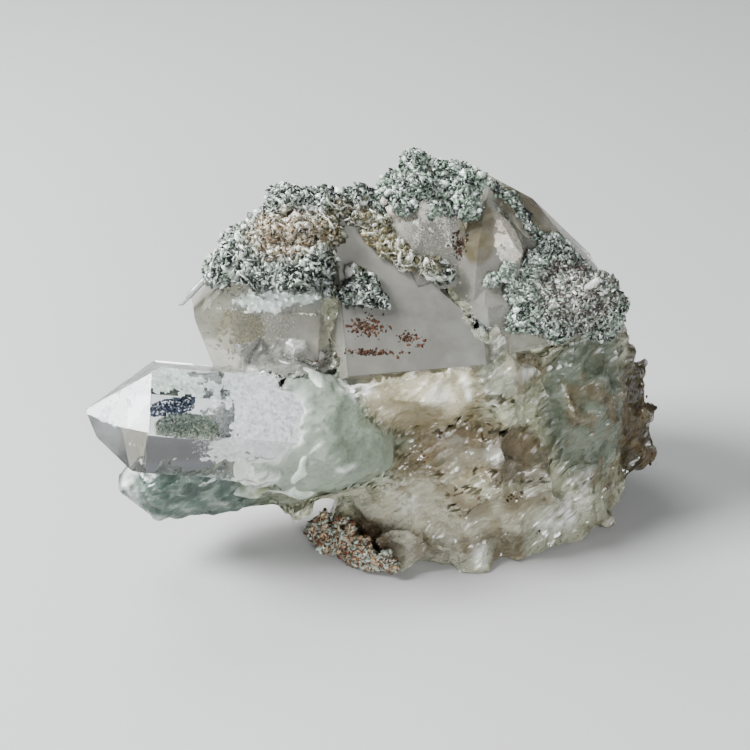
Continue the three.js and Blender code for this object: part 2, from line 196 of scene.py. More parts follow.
HEART = dict(depth=5.4, least=4.6, vary=0.6, grey_from=44, grey=(0.21, 0.205, 0.17), clear=[
    ((24, 8, 66), (9, 8, 9), 5), ((38, 12, 60), (10, 10, 9), 4), ((-27, 0, 53), (9, 8, 7), 4),
])

# How the base is broken up: the size of its voxels, flat breaks by count, radius, depth and seed, and hollow
# chips by their share and by what bowls() takes: spacing, radius, unevenness, seed, turn and squeeze

VOXEL, HEART_VOXEL = 0.6, 1.1
BREAKS = [(420, 6.5, 0.7, 24), (700, 3.2, 0.4, 25)]
DEEPEST_BREAK = 1.1
CHIPS = [
    (0.85, (9, 7, 1.2, 21, (0.5, 0.3, 0.2), (1, 1, 0.7))),
    (0.6, (3.8, 2.8, 0.5, 22, (0.2, -0.55, -0.7), (0.5, 1, 1))),
    (0.35, (2.0, 1.7, 0.2, 23, (0.2, -0.6, 0.4), (0.5, 1, 1))),
]
LOWEST, HIGHEST = -1.3, 0.4

# Spots of other colours on the base: middle, half size, colour, size of the spots and seed

MOTTLES = [
    ((-42, -15, 18), (20, 14, 11), (0.50, 0.60, 0.53), 1.5, 45),
    ((-42, -15, 18), (20, 14, 11), (0.03, 0.06, 0.045), 2.6, 46),
    ((30, -10, 20), (40, 20, 30), (0.27, 0.20, 0.11), 5.0, 47),
    ((60, 10, 22), (12, 14, 26), (0.20, 0.13, 0.05), 3.0, 48),
]


# Small helpers

def unit(vector):
    vector = np.asarray(vector, float)
    return vector / np.linalg.norm(vector)


def place(points):
    """Metres in the part's frame, from millimetres in the design frame."""
    return (np.asarray(points, float) - CENTRE) * MM


def design(points):
    """Millimetres in the design frame, from metres in the part's frame."""
    return np.asarray(points, float) / MM + CENTRE


def link(obj):
    bpy.context.scene.collection.objects.link(obj)
    return obj


def from_arrays(name, verts, tris):
    """An object from arrays of corners, in metres, and of triangles."""
    mesh = bpy.data.meshes.new(name)
    mesh.vertices.add(len(verts))
    mesh.vertices.foreach_set("co", np.asarray(verts, np.float32).ravel())
    mesh.loops.add(3 * len(tris))
    mesh.loops.foreach_set("vertex_index", np.asarray(tris, np.int32).ravel())
    mesh.polygons.add(len(tris))
    mesh.polygons.foreach_set("loop_start", np.arange(0, 3 * len(tris), 3, dtype=np.int32))
    mesh.update(calc_edges=True)
    return link(bpy.data.objects.new(name, mesh))


def read(items, name, width, kind=np.float32):
    """A property of all the items of a mesh, one row each."""
    out = np.empty(width * len(items), kind)
    items.foreach_get(name, out)
    return out.reshape(-1, width)


def to_object(form, name):
    """An object made of a bmesh."""
    mesh = bpy.data.meshes.new(name)
    form.to_mesh(mesh)
    form.free()
    return link(bpy.data.objects.new(name, mesh))


def corners_of(mesh):
    return read(mesh.vertices, "co", 3).astype(float)


def triangles_of(mesh):
    mesh.calc_loop_triangles()
    return read(mesh.loop_triangles, "vertices", 3, np.int32)


def normals_of(mesh):
    return read(mesh.vertex_normals, "vector", 3).astype(float)


def edges_of(mesh):
    return read(mesh.edges, "vertices", 2, np.int32)


def spots_of(mesh):
    return design(corners_of(mesh))


def move_to(mesh, spots):
    mesh.vertices.foreach_set("co", place(spots).astype(np.float32).ravel())
    mesh.update()


def neighbour_mean(values, edges):
    """The mean of each corner's neighbours."""
    total = np.zeros_like(values)
    for a, b in ((0, 1), (1, 0)):
        for axis in range(values.shape[1]):
            total[:, axis] += np.bincount(edges[:, a], values[edges[:, b], axis], len(values))
    count = np.bincount(edges.ravel(), minlength=len(values))
    return total / np.maximum(count, 1)[:, None]


def even_normals(mesh, edges, rounds):
    """The normals at its corners, each evened out with its neighbours'."""
    out = normals_of(mesh)
    for _ in range(rounds):
        out = neighbour_mean(out, edges)
    return out / (np.linalg.norm(out, axis=1)[:, None] + 1e-9)


def paint(mesh, name, values):
    """A colour or a number on each corner."""
    values = np.asarray(values, np.float32)
    if values.ndim == 1:
        mesh.attributes.new(name, "FLOAT", "POINT").data.foreach_set("value", values)
    else:
        colour = np.ones((len(values), 4), np.float32)
        colour[:, :3] = values
        mesh.attributes.new(name, "FLOAT_COLOR", "POINT").data.foreach_set("color", colour.ravel())


def noise(points, size, seed):
    """Smooth noise from -1 to 1 whose features are about size across."""
    table = np.random.default_rng(seed).uniform(-1, 1, 4096)
    scaled = points / size
    cell = np.floor(scaled).astype(np.int64)
    part = scaled - cell
    part = part * part * (3 - 2 * part)
    total = np.zeros(len(points))
    for step in itertools.product((0, 1), repeat=3):
        at = cell + np.array(step)
        key = (at[:, 0] * 73856093 ^ at[:, 1] * 19349663 ^ at[:, 2] * 83492791) & 4095
        total += table[key] * np.prod(np.where(step, part, 1 - part), axis=1)
    return total


def layered(points, size, seed, layers=3):
    return sum(noise(points, size / 2 ** k, seed + k) / 2 ** k for k in range(layers)) / 1.6


def bowls(points, spacing, radius, facet_shade, seed, turn=(0, 0, 0), squeeze=(1, 1, 1)):
    """How high each point lies in a surface of hollow chips with sharp ridges between them."""
    rng = np.random.default_rng(seed)
    rotation = np.array(Matrix.Rotation(turn[2], 3, "Z") @ Matrix.Rotation(turn[1], 3, "Y")
                        @ Matrix.Rotation(turn[0], 3, "X"))
    space = ((points @ rotation) * squeeze).astype(np.float32)
    cell = np.floor(space / spacing).astype(np.int64)
    key = cell[:, 0] * 73856093 ^ cell[:, 1] * 19349663 ^ cell[:, 2] * 83492791
    _, first = np.unique(key, return_index=True)
    seeds = space[first] + rng.uniform(-0.4, 0.4, (len(first), 3)).astype(np.float32) * spacing
    offset = rng.uniform(0, facet_shade, len(first)).astype(np.float32)
    square = (space ** 2).sum(1)
    low = np.full(len(space), np.inf, np.float32)
    for start in range(0, len(seeds), 128):
        some = seeds[start:start + 128]
        apart = square[:, None] + (some ** 2).sum(1) - 2 * space @ some.T
        low = np.minimum(low, (apart / (2 * radius) + offset[start:start + 128]).min(1))
    return low.astype(float)


def flat_breaks(points, out, count, radius, depth, seed):
    """Cuts flat faces, longer along the grain, off a surface whose normals are out."""
    rng = np.random.default_rng(seed)
    points = points.copy()
    along = unit(GRAIN)
    for index in rng.choice(len(points), count, replace=False):
        middle, size = points[index], radius * rng.uniform(0.6, 1.3)
        normal = unit(out[index] + 0.3 * rng.normal(size=3))
        apart = points - middle
        run = apart @ along
        far = np.sqrt(np.maximum((apart ** 2).sum(1) - 0.65 * run ** 2, 0))
        over = apart @ normal + depth * rng.uniform(0.2, 1)
        share = np.clip((size - far) / 0.8, 0, 1) * np.clip(over, 0, 1.6) * (out @ normal > 0.2)
        points -= share[:, None] * normal
    return points


def nearness(points, at, half, soft=0.5):
    """1 in the middle of an ellipsoid, and 0 from a little outside it."""
    far = np.linalg.norm((points - np.array(at)) / np.array(half), axis=1)
    return np.clip((1 + soft / 2 - far) / soft, 0, 1)


def along_edges(points, width):
    """1 on the white edges, and 0 from width away from them."""
    least = np.full(len(points), np.inf)
    for row in EDGES:
        for a, b in zip(np.array(row, float), np.array(row[1:], float)):
            share = np.clip((points - a) @ (b - a) / ((b - a) @ (b - a)), 0, 1)
            least = np.minimum(least, np.linalg.norm(points - a - share[:, None] * (b - a), axis=1))
    return np.clip(1.4 - 1.4 * least / width, 0, 1)


# The crystals' planes and solids

def planes_of(spec, grow=0.0, reach=None):
    """Normals and distances of the planes that bound a crystal, all moved out by grow."""
    apex, axis = np.array(spec["apex"], float), unit(spec["aim"])
    front = np.array(spec["front"], float)
    first = unit(front - front @ axis * axis)
    tilt = math.radians(RHOMB_ANGLE)
    normals, outs = [], []
    for side in range(6):
        turn = np.array(Matrix.Rotation(math.radians(60 * side), 3, Vector(axis)))
        across = turn @ first
        slope = axis * math.cos(tilt) + across * math.sin(tilt)
        normals += [across, slope]
        outs += [across @ apex + spec["prism"][side], slope @ apex - spec["cuts"][side]]
    for normal, at in spec["breaks"]:
        normals.append(unit(normal))
        outs.append(unit(normal) @ np.array(at))
    normals.append(-axis)
    outs.append(-axis @ apex + (reach or spec["reach"]))
    return np.array(normals), np.array(outs) + grow


def depth_in(points, planes):
    """How far inside the planes a point is, less than nothing outside."""
    normals, outs = planes
    return (outs - points @ normals.T).min(1)


def crystal(name, spec, grow=0.0, reach=None):
    """A crystal as an object: the convex body inside its planes."""
    normals, outs = planes_of(spec, grow, reach)
    found = []
    for a, b, c in itertools.combinations(range(len(outs)), 3):
        system = normals[[a, b, c]]
        if abs(np.linalg.det(system)) > 1e-6:
            point = np.linalg.solve(system, outs[[a, b, c]])
            if (normals @ point < outs + 1e-4).all() and not any(
                    np.linalg.norm(point - other) < 1e-3 for other in found):
                found.append(point)
    form = bmesh.new()
    for point in place(found):
        form.verts.new(point)
    bmesh.ops.convex_hull(form, input=form.verts)
    bmesh.ops.dissolve_limit(form, angle_limit=math.radians(0.5), verts=form.verts, edges=form.edges)
    return to_object(form, name)


def refine(obj, size):
    """Cuts an object's flat faces into small triangles that share their corners along the edges."""
    corners = corners_of(obj.data) / MM
    rng = np.random.default_rng(7)
    verts, tris, start = [], [], 0
    for face in obj.data.polygons:
        loop = corners[list(face.vertices)]
        first = unit(loop[1] - loop[0])
        second = np.cross(np.array(face.normal), first)
        ring = []
        for a, b in zip(loop, np.roll(loop, -1, axis=0)):
            steps = max(1, round(np.linalg.norm(b - a) / size))
            ring.append(a + (b - a) * np.arange(steps)[:, None] / steps)
        flat = (np.concatenate(ring) - loop[0]) @ np.stack([first, second], axis=1)
        low, high = flat.min(0), flat.max(0)
        columns, rows = np.arange(low[0], high[0], size), np.arange(low[1], high[1], 0.87 * size)
        grid = np.stack(np.meshgrid(columns, rows), axis=-1).reshape(-1, 2)
        grid += rng.uniform(-0.25, 0.25, grid.shape) * size
        apart = ((grid[:, None] - flat) ** 2).sum(2).min(1) if len(grid) else np.empty(0)
        both = np.concatenate([flat, grid[apart > (0.6 * size) ** 2]])
        made, _, parts, *_ = delaunay_2d_cdt([Vector(point) for point in both], [], [list(range(len(flat)))],
                                             1, 1e-5)
        made = np.array([tuple(point) for point in made])
        verts.append(loop[0] + made @ np.stack([first, second]))
        tris.append(np.array(parts, int).reshape(-1, 3) + start)
        start += len(made)
    form = bmesh.new()
    rough = from_arrays(obj.name + "_cut", np.concatenate(verts) * MM, np.concatenate(tris))
    form.from_mesh(rough.data)
    bmesh.ops.remove_doubles(form, verts=form.verts, dist=2e-6)
    form.to_mesh(obj.data)
    form.free()
    bpy.data.objects.remove(rough)


def combine(obj, others, operation):
    """obj's mesh, joined with the others or cut by them, which are then removed."""
    for other in others:
        modifier = obj.modifiers.new("combine", "BOOLEAN")
        modifier.operation, modifier.solver, modifier.object = operation, "EXACT", other
    settle(obj)
    for other in others:
        bpy.data.objects.remove(other)


def settle(obj):
    """Applies obj's modifiers."""
    graph = bpy.context.evaluated_depsgraph_get()
    graph.update()
    mesh = bpy.data.meshes.new_from_object(obj.evaluated_get(graph))
    obj.modifiers.clear()
    obj.data = mesh


def remesh(obj, size):
    modifier = obj.modifiers.new("remesh", "REMESH")
    modifier.mode, modifier.voxel_size = "VOXEL", size * MM
    settle(obj)


def copy_of(node, name):
    """A copy of a CAD node with its corners joined."""
    form = bmesh.new()
    form.from_mesh(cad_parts[node].data)
    bmesh.ops.remove_doubles(form, verts=form.verts, dist=1e-7)
    return to_object(form, name)


def own(obj, slot, *nodes):
    """obj belongs to the object: it rides on its body and stands for the named CAD nodes."""
    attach(obj, BODY)
    if nodes:
        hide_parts(*nodes)
    return obj


def piece(name, verts, tris, tones, material, slot, *nodes):
    """A piece of the object from arrays of corners, triangles and tints."""
    obj = from_arrays(name, place(np.concatenate(verts)), np.concatenate(tris))
    paint(obj.data, "tint", np.concatenate(tones))
    obj.data.materials.append(material)
    return own(obj, slot, *nodes)


# Materials

def shader(name):
    """A new material, with its node tree and its Principled shader."""
    made = bpy.data.materials.new(name)
    made.use_nodes = True
    tree = made.node_tree
    return made, tree, tree.nodes["Principled BSDF"]


def join(tree, target, values):
    """Sets a node's inputs to values, or joins them to other nodes' outputs."""
    for key, value in values.items():
        if isinstance(value, bpy.types.NodeSocket):
            tree.links.new(value, target.inputs[key])
        else:
            target.inputs[key].default_value = value


def node(tree, kind, values, **settings):
    made = tree.nodes.new(kind)
    for key, value in settings.items():
        setattr(made, key, value)
    join(tree, made, values)
    return made


def ramp(tree, value, stops):
    """A ramp over value, from (position, grey) stops."""
    made = node(tree, "ShaderNodeValToRGB", {"Fac": value})
    for point, (position, grey) in zip(made.color_ramp.elements, stops):
        point.position = position
        point.color = (grey, grey, grey, 1)
    return made.outputs["Color"]


def mix(tree, share, a, b, blend="MIX"):
    colours = {key: (*tone, 1) if isinstance(tone, tuple) else tone for key, tone in ((6, a), (7, b))}
    return node(tree, "ShaderNodeMix", {0: share, **colours}, data_type="RGBA", blend_type=blend).outputs[2]


def maths(tree, operation, a, b):
    return node(tree, "ShaderNodeMath", {0: a, 1: b}, operation=operation).outputs[0]


def vectors(tree, operation, a, b, output="Vector"):
    return node(tree, "ShaderNodeVectorMath", {0: a, 1: b}, operation=operation).outputs[output]


def own_place(tree):
    return node(tree, "ShaderNodeTexCoord", {}).outputs["Object"]


def cloudy(tree, at, scale, detail, roughness=0.5):
    """Noise from 0 to 1."""
    values = {"Vector": at, "Scale": scale, "Detail": detail, "Roughness": roughness}
    return node(tree, "ShaderNodeTexNoise", values).outputs["Fac"]


def facets(tree, at, scale):
    """The height of small flat facets, each tilted its own way, and a number for each facet."""
    cells = node(tree, "ShaderNodeTexVoronoi", {"Vector": at, "Scale": scale})
    local = vectors(tree, "SUBTRACT", vectors(tree, "MULTIPLY", at, (scale,) * 3), cells.outputs["Position"])
    tilt = vectors(tree, "SUBTRACT", cells.outputs["Color"], (0.5, 0.5, 0.5))
    number = node(tree, "ShaderNodeSeparateColor", {"Color": cells.outputs["Color"]}).outputs["Red"]
    return vectors(tree, "DOT_PRODUCT", local, tilt, "Value"), number


def bump(tree, height, distance, strength=1.0, normal=None):
    values = {"Height": height, "Distance": distance, "Strength": strength}
    if normal:
        values["Normal"] = normal
    return node(tree, "ShaderNodeBump", values).outputs["Normal"]


def attribute(tree, name, output="Fac"):
    return node(tree, "ShaderNodeAttribute", {}, attribute_name=name).outputs[output]


def broken_quartz():
    """Broken quartz, clear under its skin. Its tint, frost and roughness come from the mesh."""
    made, tree, main = shader("broken_quartz")
    at = own_place(tree)
    tint, frost, rough = attribute(tree, "tint", "Color"), attribute(tree, "frost"), attribute(tree, "rough")
    turned = {"Vector": at, "Rotation": (0, -0.55, 0.3), "Scale": (3.0, 1, 0.8)}
    grain = node(tree, "ShaderNodeMapping", turned, vector_type="TEXTURE").outputs["Vector"]
    streak = cloudy(tree, grain, 1500.0, 5.0, 0.6)
    cloud = cloudy(tree, at, 190.0, 7.0, 0.65)
    fine = cloudy(tree, at, 1300.0, 3.0)
    chips, chip = facets(tree, grain, 520.0)
    flecks, fleck = facets(tree, grain, 1200.0)
    shade = mix(tree, ramp(tree, fine, [(0.34, 0.45), (0.46, 0.0)]), tint, (0.38, 0.38, 0.30), "MULTIPLY")
    pale = mix(tree, 1.0, shade, (0.15, 0.16, 0.14), "ADD")
    lined = mix(tree, ramp(tree, streak, [(0.53, 0.0), (0.70, 0.45)]), shade, pale)
    veiled = mix(tree, ramp(tree, cloud, [(0.52, 0.0), (0.70, 0.50)]), lined, pale)
    # painted shade: facets tilted one way are darkened, as if turned away from the light
    facet_shade = maths(tree, "MULTIPLY", ramp(tree, chip, [(0.0, 0.22), (0.6, 0.0)]), rough)
    facet_shaded = mix(tree, facet_shade, veiled, (0.40, 0.40, 0.34), "MULTIPLY")
    satin = maths(tree, "ADD", maths(tree, "MULTIPLY", maths(tree, "SUBTRACT", 1.0, rough), 0.32),
                  maths(tree, "MULTIPLY", frost, 0.3))
    large = bump(tree, maths(tree, "MULTIPLY", chips, maths(tree, "ADD", rough, 0.08)), 0.0011, 0.9)
    small = bump(tree, maths(tree, "MULTIPLY", flecks, maths(tree, "ADD", rough, 0.15)), 0.0007, 0.9, large)
    grooves = maths(tree, "ADD", streak, maths(tree, "MULTIPLY", fine, 0.5))
    join(tree, main, {
        "Base Color": mix(tree, frost, facet_shaded, WHITE),
        "Roughness": maths(tree, "ADD", ramp(tree, fleck, [(0.15, 0.04), (0.8, 0.22)]), satin),
        "Transmission Weight": maths(tree, "MULTIPLY", maths(tree, "SUBTRACT", 1.0, frost), 0.65),
        "IOR": QUARTZ_IOR,
        "Normal": bump(tree, grooves, 0.0002, 0.3, small),
    })
    return made


def milky_quartz():
    """The cloudy inside of the quartz."""
    made, tree, main = shader("milky_quartz")
    cloud = cloudy(tree, own_place(tree), 260.0, 7.0)
    share = maths(tree, "MULTIPLY", ramp(tree, cloud, [(0.44, 0.0), (0.68, 0.7)]), attribute(tree, "milk"))
    join(tree, main, {
        "Base Color": mix(tree, share, attribute(tree, "tint", "Color"), WHITE),
        "Roughness": 0.5,
        "Normal": bump(tree, cloud, 0.002, 0.8),
    })
    return made


def clear_quartz(name, axis, roughness, through, lined):
    """Clear crystal with fine lines across its prism faces. Its tint comes from the mesh."""
    made, tree, main = shader(name)
    at = own_place(tree)
    along = maths(tree, "MULTIPLY", vectors(tree, "DOT_PRODUCT", at, tuple(axis), "Value"), 900.0)
    lines = node(tree, "ShaderNodeTexNoise", {"W": along, "Scale": 1.0, "Detail": 3.0},
                 noise_dimensions="1D").outputs["Fac"]
    striated = bump(tree, lines, 0.00003, lined)
    milk = ramp(tree, cloudy(tree, at, 150.0, 8.0, 0.65), [(0.48, 0.0), (0.72, 0.55)])
    join(tree, main, {
        "Base Color": mix(tree, milk, attribute(tree, "tint", "Color"), WHITE),
        "Roughness": ramp(tree, cloudy(tree, at, 90.0, 5.0), [(0.45, roughness), (0.72, roughness + 0.12)]),
        "Transmission Weight": through,
        "IOR": QUARTZ_IOR,
        "Normal": bump(tree, cloudy(tree, at, 120.0, 2.0), 0.0003, 0.2, striated),
    })
    return made


def frosted_quartz(name, roughness, through, grain):
    """Crystal under a frosted or satin skin, with the tint of the mesh."""
    made, tree, main = shader(name)
    at = own_place(tree)
    fine, cloud = cloudy(tree, at, 1300.0, 4.0), cloudy(tree, at, 170.0, 6.0)
    darker = mix(tree, ramp(tree, fine, [(0.34, grain), (0.50, 0.0)]), attribute(tree, "tint", "Color"),
                 (0.45, 0.47, 0.45), "MULTIPLY")
    rough = bump(tree, facets(tree, at, 1500.0)[0], 0.0004, grain)
    join(tree, main, {
        "Base Color": mix(tree, ramp(tree, cloud, [(0.45, 0.0), (0.75, grain)]), darker, WHITE),
        "Roughness": ramp(tree, fine, [(0.3, roughness), (0.7, roughness + 0.15)]),
        "Transmission Weight": through,
        "IOR": QUARTZ_IOR,
        "Normal": bump(tree, fine, 0.0002, 0.3 * grain + 0.1, rough),
    })
    return made


def flake_material(name, roughness, coat, shine=0.5):
    """Small plates, each with its own tint."""
    made, tree, main = shader(name)
    fine = cloudy(tree, own_place(tree), 1800.0, 3.0)
    join(tree, main, {
        "Base Color": mix(tree, ramp(tree, fine, [(0.35, 0.4), (0.6, 0.0)]), attribute(tree, "tint", "Color"),
                          (0.2, 0.2, 0.16), "MULTIPLY"),
        "Roughness": ramp(tree, fine, [(0.3, roughness - 0.1), (0.7, roughness + 0.15)]),
        "IOR": CHLORITE_IOR,
        "Specular IOR Level": shine,
        "Coat Weight": coat,
        "Coat Roughness": 0.12,
        "Normal": bump(tree, fine, 0.0002, 0.3),
    })
    return made


# The base: the CAD quartz without its clear and smoky crystals, broken up by code

def tints(points, zones, plain, warp=1.5):
    """Colour and the zones' own number by place."""
    colour = np.tile(np.array(plain), (len(points), 1))
    number = np.zeros(len(points))
    bent = points + warp * np.stack([layered(points, 9, seed) for seed in (11, 12, 13)], axis=1)
    for at, half, tone, value, soft in zones:
        near = nearness(bent, at, half, soft)
        colour += near[:, None] * (np.array(tone) - colour)
        number += near * (value - number)
    return colour, number


def mottle(colour, points, at, half, tone, size, seed):
    """Spots of another colour in an ellipsoid."""
    share = nearness(points, at, half) * np.clip(3 * layered(points, size, seed), 0, 0.8)
    return colour + share[:, None] * (np.array(tone) - colour)


def frosting(points):
    """How frosted the base is by place: in patches, broken by finer spots, and along its white edges."""
    patch = np.zeros(len(points))
    for at, half, strength in FROST:
        patch = np.maximum(patch, strength * nearness(points, at, half, 0.7))
    spots = layered(points, 1.5, 43)
    edge = along_edges(points, 1.0) * (0.85 + 0.5 * layered(points, 2.2, 44))
    return np.clip(np.maximum(patch * (0.62 + 0.9 * spots), edge), 0, 1)


def cut_flats(points, out, smooth):
    """Flat breaks, shallower in smooth zones and near the foot."""
    broken = points
    for count, radius, depth, seed in BREAKS:
        broken = flat_breaks(broken, out, count, radius, depth, seed)
    cuts = (broken - points) * ((1 - 0.75 * smooth) * np.clip(broken[:, 2] / 5, 0.15, 1))[:, None]
    return points + cuts * np.minimum(1, DEEPEST_BREAK / (np.linalg.norm(cuts, axis=1) + 1e-9))[:, None]


def chip_hollows(points, out, smooth):
    """Hollow chips of three sizes, with smooth zones level between them."""
    amount = 1 - 0.85 * smooth
    height = np.zeros(len(points))
    for share, spec in CHIPS:
        part = bowls(points, *spec)
        height += share * amount * (part - np.percentile(part, 85))
    height += 0.1 * layered(points, 2.4, 31) * amount + 0.12 * (layered(points, 3.5, 32) - 0.5)
    height -= 0.5 * smooth
    steady = np.clip(points[:, 2] / 7, 0.12, 1)
    return points + out * (steady * np.clip(height, LOWEST, HIGHEST))[:, None]


def hold_crystals(points, moved):
    """Keeps the pockets' walls a little inside the crystals that they hold."""
    for spec in CRYSTALS.values():
        normals, outs = planes_of(spec)
        inside = outs - moved @ normals.T
        nearest = inside.argmin(1)
        depth = inside.min(1)
        wall = depth_in(points, (normals, outs)) > -0.75
        push = np.where(wall & (depth < EMBED), EMBED - depth, 0)
        moved -= normals[nearest] * np.minimum(push, 1.2)[:, None]
    return moved


def fill_pits(points, out, edges):
    """Evens out narrow pits, which would show as black dots."""
    for _ in range(4):
        even = neighbour_mean(points, edges)
        sunk = ((even - points) * out).sum(1)
        points += np.clip((sunk - 0.10) / 0.10, 0, 0.8)[:, None] * (even - points)
    points[:, 2] = np.maximum(points[:, 2], 0)
    return points


def paint_base(mesh, points, edges):
    """Its tint, how frosted it is, most of all on ridges and round the clear crystal, and how rough."""
    raised = ((points - neighbour_mean(points, edges)) * normals_of(mesh)).sum(1)
    for _ in range(2):
        raised = 0.5 * raised + 0.5 * neighbour_mean(raised[:, None], edges)[:, 0]
    colour, smooth = tints(points, ZONES, PLAIN)
    for spots in MOTTLES:
        colour = mottle(colour, points, *spots)
    held = depth_in(points, planes_of(CRYSTALS["clear"], 0.9))
    ridge = np.clip((raised - 0.05) / 0.12, 0, 1) * 0.8 * (1 - 0.6 * smooth)
    rim = np.clip(held, 0, 1) * 0.8
    broken = 0.75 + 0.5 * layered(points, 1.6, 41)
    frost = np.maximum(frosting(points), np.maximum(ridge, rim) * broken)
    paint(mesh, "tint", np.clip(colour * (1 + 0.2 * layered(points, 6, 42))[:, None], 0, 1))
    paint(mesh, "frost", np.clip(frost, 0, 1))
    paint(mesh, "rough", 1 - 0.85 * smooth)


def base():
    """The broken skin of the quartz, with a pocket for each crystal."""
    obj = copy_of("quartz", "quartz_base")
    combine(obj, [crystal("cutter", spec, 0.02) for spec in CRYSTALS.values()], "DIFFERENCE")
    remesh(obj, VOXEL)
    mesh = obj.data
    edges = edges_of(mesh)
    points = spots_of(mesh)
    _, smooth = tints(points, ZONES, PLAIN)
    for _ in range(4):
        points += 0.5 * smooth[:, None] * (neighbour_mean(points, edges) - points)
    move_to(mesh, points)
    out = even_normals(mesh, edges, 3)
    for _ in range(16):
        smooth = neighbour_mean(smooth[:, None], edges)[:, 0]
    points = cut_flats(points, out, smooth)
    points = hold_crystals(points, chip_hollows(points, out, smooth))
    points = fill_pits(points, out, edges)
    move_to(mesh, points)
    paint_base(mesh, points, edges)
    mesh.shade_smooth()
    mesh.set_sharp_from_angle(angle=math.radians(20))
    mesh.materials.clear()
    mesh.materials.append(broken_quartz())
    return own(obj, "quartz", "quartz")


def heart():
    """The milky heart of the cluster, seen through its clear skin and through the smoky crystals."""
    obj = copy_of("quartz", "quartz_heart")
    combine(obj, [crystal("cutter", CRYSTALS["clear"], 0.5)], "DIFFERENCE")
    remesh(obj, 1.2)
    for _ in range(2):
        mesh = obj.data
        points = spots_of(mesh)
        out = even_normals(mesh, edges_of(mesh), 4)
        deep = HEART["depth"] + HEART["vary"] * layered(points, 7, 81)
        for at, half, extra in HEART["clear"]:
            deep += extra * nearness(points, at, half)
        move_to(mesh, points - out * (np.clip(deep, HEART["least"], None) / 2)[:, None])
        remesh(obj, HEART_VOXEL)
    mesh = obj.data
    points = spots_of(mesh)
    edges = edges_of(mesh)
    for _ in range(6):
        points = neighbour_mean(points, edges)
    points += normals_of(mesh) * (0.4 * layered(points, 3, 82))[:, None]
    move_to(mesh, points)
    colour, _ = tints(points, ZONES, PLAIN)
    upper = np.clip((points[:, 2] - HEART["grey_from"]) / 3, 0, 1)
    colour += upper[:, None] * (np.array(HEART["grey"]) - colour)
    paint(mesh, "tint", np.clip(0.9 * colour * (1 + 0.3 * layered(points, 5, 83))[:, None], 0, 1))
    paint(mesh, "milk", 1 - 0.85 * upper)
    mesh.materials.clear()
    mesh.materials.append(milky_quartz())
    mesh.shade_smooth()
    return own(obj, "quartz")


# The clear and smoky crystals

def dress(obj, zones, plain, materials, satin=None):
    """Paints a refined crystal, and gives its frosted places their own material."""
    mesh = obj.data
    points = spots_of(mesh)
    colour, frost = tints(points, zones, plain, 0.8)
    tris = triangles_of(mesh)
    middle = points[tris].mean(1)
    if satin:
        normal, out = satin
        on = np.abs(out - points @ normal) < 0.02
        # painted light: the grey face is made paler upwards, where the crust shades it
        colour[on] = np.array(SATIN) * (1 + SATIN_PAINTED_LIGHT * np.clip(points[on, 2:] - SATIN_FROM, 0, 12))
    paint(mesh, "tint", np.clip(colour * (1 + 0.12 * layered(points, 4, 84))[:, None], 0, 1))
    index = (frost[tris].mean(1) > 0.5 + 0.55 * layered(middle, 1.6, 85)).astype(np.int32)
    if satin:
        index[np.abs(out - middle @ normal) < 0.02] = 2
    mesh.materials.clear()
    for made in materials:
        mesh.materials.append(made)
    mesh.polygons.foreach_set("material_index", index)
    mesh.shade_flat()
    return own(obj, "quartz")


def crystals():
    clear = crystal("clear_crystal", CRYSTALS["clear"], reach=CRYSTALS["clear"]["reach"] + EMBED)
    smoky = crystal("smoky_crystals", CRYSTALS[SMOKY[0]])
    combine(smoky, [crystal(name, CRYSTALS[name]) for name in SMOKY[1:]], "UNION")
    refine(clear, 0.5)
    refine(smoky, 0.6)
    normals, outs = planes_of(CRYSTALS["grey"])
    dress(clear, CLEAR_ZONES, CLEAR,
          [clear_quartz("clear_crystal", unit(CRYSTALS["clear"]["aim"]), 0.01, 1.0, 0.5),
           frosted_quartz("frosted_crystal", 0.16, 0.45, 0.6)])
    dress(smoky, SMOKY_ZONES, SMOKY_TINT,
          [clear_quartz("smoky_crystal", unit(CRYSTALS["left"]["aim"]), 0.10, 0.80, 0.0),
           frosted_quartz("frosted_smoky_crystal", 0.18, 0.35, 0.6),
           frosted_quartz("satin_crystal", 0.30, 0.35, 0.10)], (normals[0], outs[0]))
    return clear, smoky


# Flakes

def plates(centres, normals, sizes, thickness, rng, sides=6, stretch=1.0):
    """Closed, uneven plates: a ring of corners, with a point on either side of its middle."""
    count = len(centres)
    across = np.cross(normals, rng.normal(size=(count, 3)))
    across /= np.linalg.norm(across, axis=1)[:, None]
    other = np.cross(normals, across)
    angle = (np.arange(sides) + rng.uniform(-0.25, 0.25, (count, sides))) * 2 * math.pi / sides
    radius = sizes[:, None] * rng.uniform(0.36, 0.58, (count, sides))
    ring = (centres[:, None] + stretch * across[:, None] * (np.cos(angle) * radius)[..., None]
            + other[:, None] * (np.sin(angle) * radius)[..., None])
    lift = normals * (sizes * thickness / 2)[:, None]
    verts = np.concatenate([ring, (centres + lift)[:, None], (centres - lift)[:, None]], axis=1)
    step = np.arange(sides)
    after = (step + 1) % sides
    above = np.stack([step, after, np.full(sides, sides)], axis=1)
    below = np.stack([after, step, np.full(sides, sides + 1)], axis=1)
    tris = np.arange(count)[:, None, None] * (sides + 2) + np.concatenate([above, below])
    return verts.reshape(-1, 3), tris.reshape(-1, 3)


def scatter(points, tris, count, rng):
    """Places spread evenly over a surface, with the surface's normal at each."""
    a, b, c = (points[tris[:, k]] for k in range(3))
    cross = np.cross(b - a, c - a)
    area = np.linalg.norm(cross, axis=1)
    pick = rng.choice(len(tris), count, p=area / area.sum())
    u, v = rng.uniform(size=(2, count))
    flip = u + v > 1
    u, v = np.where(flip, 1 - u, u), np.where(flip, 1 - v, v)
    at = a[pick] + u[:, None] * (b - a)[pick] + v[:, None] * (c - a)[pick]
    return at, cross[pick] / area[pick, None]


